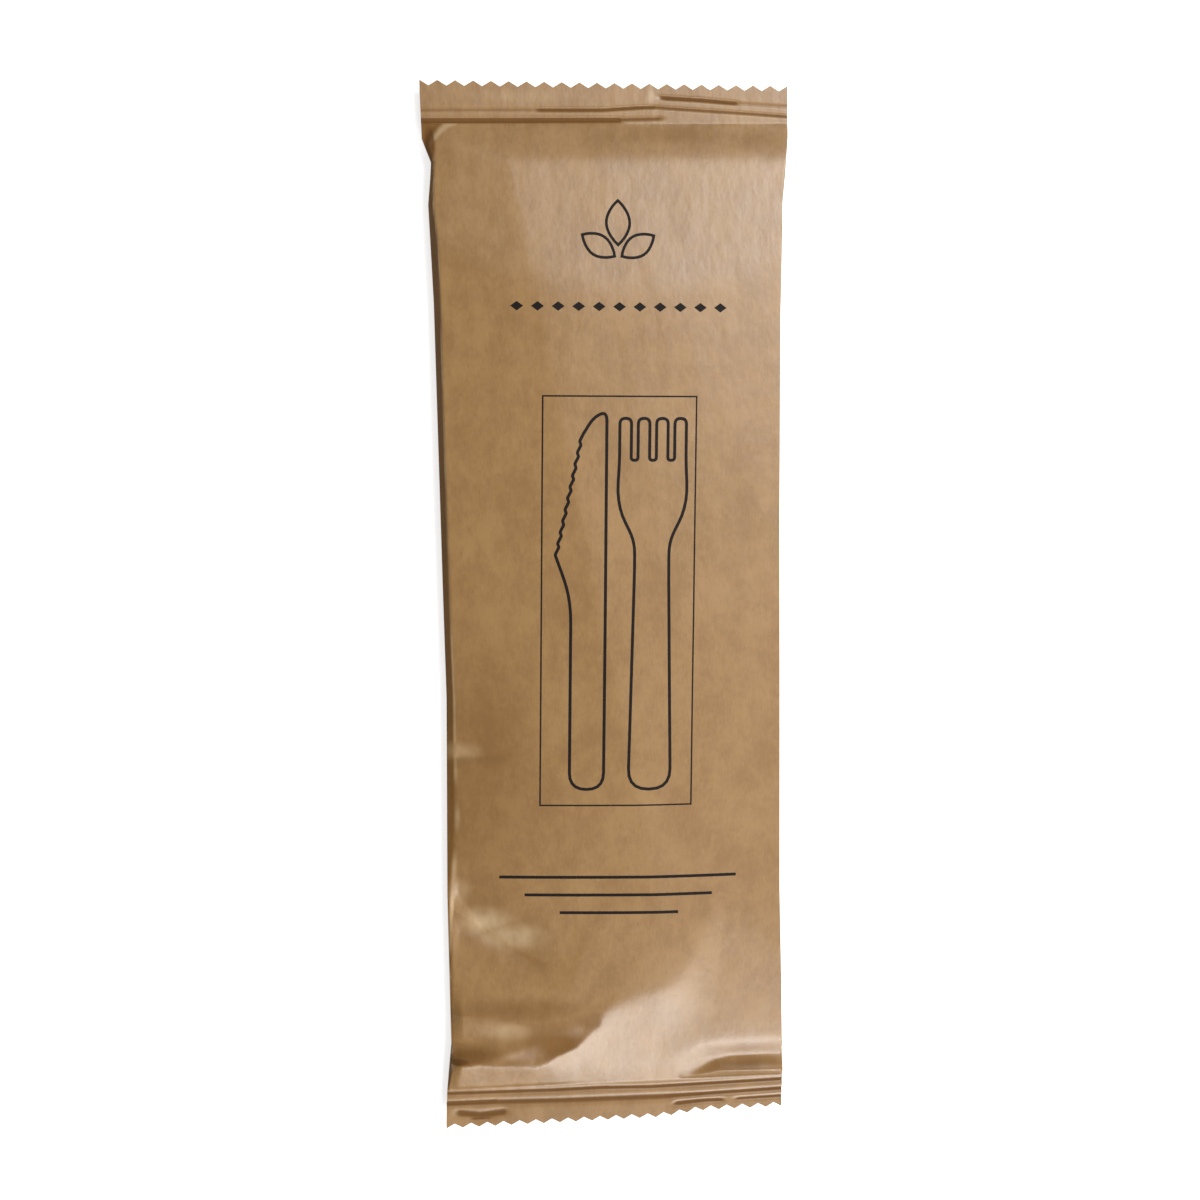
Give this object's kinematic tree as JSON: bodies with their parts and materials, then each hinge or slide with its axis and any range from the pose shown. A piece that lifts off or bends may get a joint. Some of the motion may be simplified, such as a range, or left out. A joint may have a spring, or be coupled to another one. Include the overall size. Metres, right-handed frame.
{
  "type": "wooden cutlery pack",
  "caption": "Sealed kraft paper sachet of wooden cutlery, lying on its back, with ribbed end seals cut in a zigzag and a fin folded flat along the back",
  "frame": {"origin": "centre of the bounding box in plan, at the plane the pack lies on", "axes": "+X across the pack to the right of its printed front, +Y towards the top end seal, +Z out of the printed front"},
  "size_m": [0.0722, 0.2106, 0.0084],
  "materials": {
    "kraft_paper": "satin"
  },
  "bodies": {
    "root": {"sealed_sachet": "kraft_paper"}
  },
  "joints": []
}
